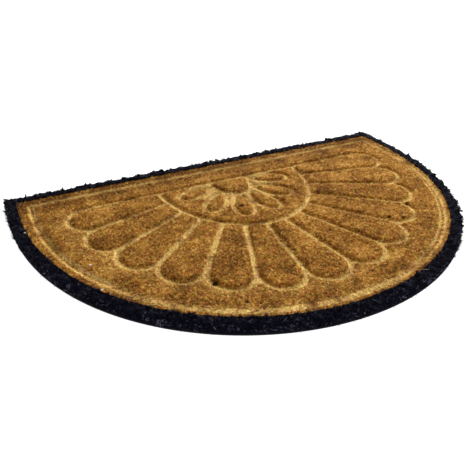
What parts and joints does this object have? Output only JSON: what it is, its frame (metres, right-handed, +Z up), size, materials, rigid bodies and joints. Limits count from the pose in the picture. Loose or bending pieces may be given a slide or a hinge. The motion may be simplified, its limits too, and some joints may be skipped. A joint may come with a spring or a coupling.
{
  "type": "coir doormat",
  "caption": "Half-round coir doormat with a pressed fan of petals, a black coir border and a thin black backing, lying flat.",
  "frame": {"origin": "middle of the mat's box, on the floor under it", "axes": "+X along the straight edge, +Y towards the straight edge, +Z up"},
  "size_m": [0.6, 0.4, 0.012],
  "materials": {
    "natural_coir": "matt, short clipped pile of flecked brown coir fibre, paler where it is pressed",
    "black_coir": "matt, dyed black coir pile with a bristly outer edge",
    "backing": "satin black sheet, lightly textured underneath"
  },
  "bodies": {
    "root": {"backing": "backing", "coir_border": "black_coir", "coir_field": "natural_coir"}
  },
  "joints": []
}
